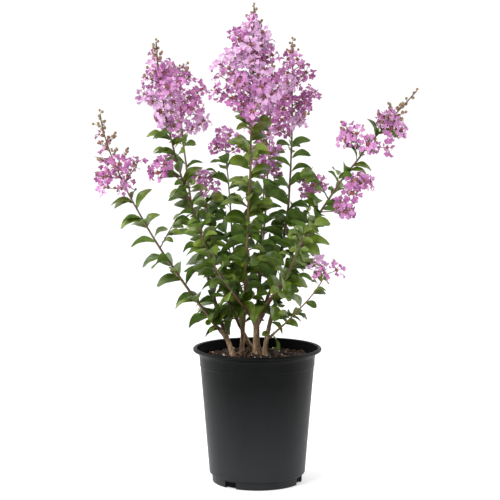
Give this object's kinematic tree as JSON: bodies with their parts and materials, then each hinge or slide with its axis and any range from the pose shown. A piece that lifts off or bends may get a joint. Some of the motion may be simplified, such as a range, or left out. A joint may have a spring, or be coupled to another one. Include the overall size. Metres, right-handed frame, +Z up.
{
  "type": "crape myrtle tree",
  "caption": "Young multi-stemmed crape myrtle in a round nursery pot, upright shoots with paired leaves and pink-mauve flower panicles.",
  "frame": {"origin": "centre of the pot's flat underside", "axes": "+Z up along the pot's axis, +X along the widest spread of the shoots, +Y from the front of the plant to its back"},
  "size_m": [0.5735, 0.3418, 0.846],
  "materials": {
    "pot": "moulded charcoal-black plastic, satin",
    "soil": "composted bark potting mix with pale perlite grains",
    "bark": "smooth grey-brown young bark, faintly ridged and flaking",
    "foliage": "living leaves, glossy above and matt below, on red-brown twigs",
    "blossom": "crinkled pink-mauve petals with yellow stamens and red-brown buds"
  },
  "bodies": {
    "root": {"pot": "pot", "soil": "soil", "trunk": "bark", "left_back_bough": "bark", "left_tall_bough": "bark", "centre_bough": "bark", "right_bough": "bark", "far_left_bough": "bark", "left_middle_bough": "bark", "centre_left_bough": "bark", "right_tall_bough": "bark", "middle_back_bough": "bark", "back_bough": "bark", "back_left_bough": "bark", "back_right_bough": "bark", "right_low_bough": "bark", "front_left_bough": "bark", "front_right_bough": "bark", "left_back_leaves": "foliage", "left_back_panicle": "blossom", "left_tall_leaves": "foliage", "left_tall_panicle": "blossom", "centre_leaves": "foliage", "centre_panicle": "blossom", "right_leaves": "foliage", "right_panicle": "blossom", "far_left_leaves": "foliage", "far_left_panicle": "blossom", "left_middle_leaves": "foliage", "left_middle_panicle": "blossom", "centre_left_leaves": "foliage", "centre_left_panicle": "blossom", "right_tall_leaves": "foliage", "right_tall_panicle": "blossom", "middle_back_leaves": "foliage", "middle_back_panicle": "blossom", "back_leaves": "foliage", "back_panicle": "blossom", "back_left_leaves": "foliage", "back_right_leaves": "foliage", "back_right_panicle": "blossom", "right_low_leaves": "foliage", "right_low_panicle": "blossom", "front_left_leaves": "foliage", "front_right_leaves": "foliage", "right_inner_panicle": "blossom", "right_outer_panicle": "blossom", "right_middle_panicle": "blossom", "right_under_panicle": "blossom", "left_side_panicle": "blossom"}
  },
  "joints": []
}
